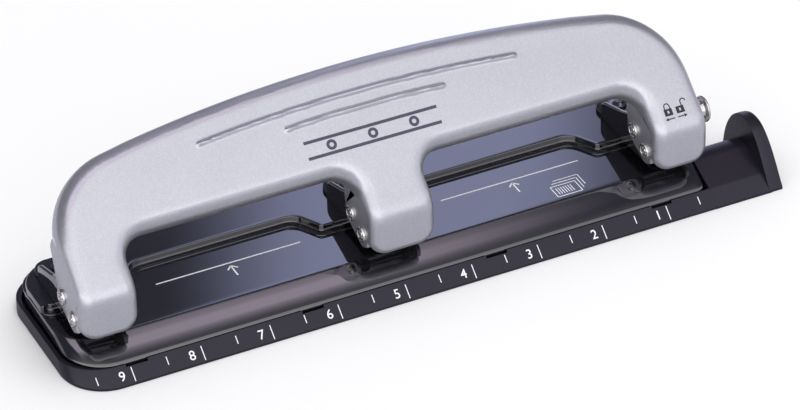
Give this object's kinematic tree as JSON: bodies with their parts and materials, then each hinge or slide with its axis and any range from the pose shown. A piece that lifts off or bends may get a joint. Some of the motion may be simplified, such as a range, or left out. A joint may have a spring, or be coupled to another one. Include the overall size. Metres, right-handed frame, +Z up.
{
  "type": "three hole punch",
  "caption": "Desk paper punch: a sprung full-width lever drives three punch pins through a sheet in a throat over a chip tray with ruler and paper stop.",
  "frame": {"origin": "on the table plane, straight below the middle punch", "axes": "+X along the ruler to the paper stop, +Y away from the user to the back, +Z up"},
  "size_m": [0.2688, 0.0658, 0.0688],
  "materials": {
    "silver_paint": "satin silver paint",
    "black_paint": "high gloss black enamel",
    "nickel": "bright nickel plate",
    "tool_steel": "ground steel",
    "smoke_plastic": "dark smoke plastic, slightly see-through"
  },
  "bodies": {
    "base": {"base_pan": "black_paint", "deck": "black_paint", "bracket_left": "black_paint", "die_plate_left": "tool_steel", "deck_spacer_left": "tool_steel", "bracket_rivet_left": "black_paint", "fulcrum_pin_left": "nickel", "fulcrum_cap_left": "nickel", "return_spring_left": "nickel", "bracket_middle": "black_paint", "die_plate_middle": "tool_steel", "deck_spacer_middle": "tool_steel", "bracket_rivet_middle": "black_paint", "fulcrum_pin_middle": "nickel", "fulcrum_cap_middle": "nickel", "return_spring_middle": "nickel", "bracket_right": "black_paint", "die_plate_right": "tool_steel", "deck_spacer_right": "tool_steel", "bracket_rivet_right": "black_paint", "fulcrum_pin_right": "nickel", "fulcrum_cap_right": "nickel", "return_spring_right": "nickel"},
    "lever": {"handle": "silver_paint", "lock_bush": "nickel", "drive_pin_left": "nickel", "drive_cap_left": "nickel", "drive_pin_middle": "nickel", "drive_cap_middle": "nickel", "drive_pin_right": "nickel"},
    "lock": {"lock_knob": "nickel"},
    "left_punch": {"punch_left": "tool_steel", "spring_clip_left": "tool_steel"},
    "middle_punch": {"punch_middle": "tool_steel", "spring_clip_middle": "tool_steel"},
    "right_punch": {"punch_right": "tool_steel", "spring_clip_right": "tool_steel"},
    "tray": {"chip_tray": "smoke_plastic"}
  },
  "joints": [
    {"name": "handle_press", "type": "hinge", "parent": "base", "child": "lever", "pos_m": [0, -0.00867, 0.0218], "axis": [-1, 0, 0], "range_deg": [0, 38], "stiffness_Nm_per_rad": 0.25, "springref_deg": -25.78},
    {"name": "lock_push", "type": "slide", "parent": "lever", "child": "lock", "axis": [-1, 0, 0], "range_m": [0, 0.0022]},
    {"name": "left_punch_slide", "type": "slide", "parent": "base", "child": "left_punch", "axis": [0, 0, -1], "range_m": [0, 0.00588], "deforming": ["return_spring_left"]},
    {"name": "middle_punch_slide", "type": "slide", "parent": "base", "child": "middle_punch", "axis": [0, 0, -1], "range_m": [0, 0.00588], "deforming": ["return_spring_middle"]},
    {"name": "right_punch_slide", "type": "slide", "parent": "base", "child": "right_punch", "axis": [0, 0, -1], "range_m": [0, 0.00588], "deforming": ["return_spring_right"]},
    {"name": "tray_release", "type": "slide", "parent": "base", "child": "tray", "axis": [0, 0, -1], "range_m": [0, 0.03]}
  ],
  "couplings": [
    {"joint": "left_punch_slide", "follows": "handle_press", "m_per_rad": 0.008859},
    {"joint": "middle_punch_slide", "follows": "handle_press", "m_per_rad": 0.008859},
    {"joint": "right_punch_slide", "follows": "handle_press", "m_per_rad": 0.008859}
  ]
}
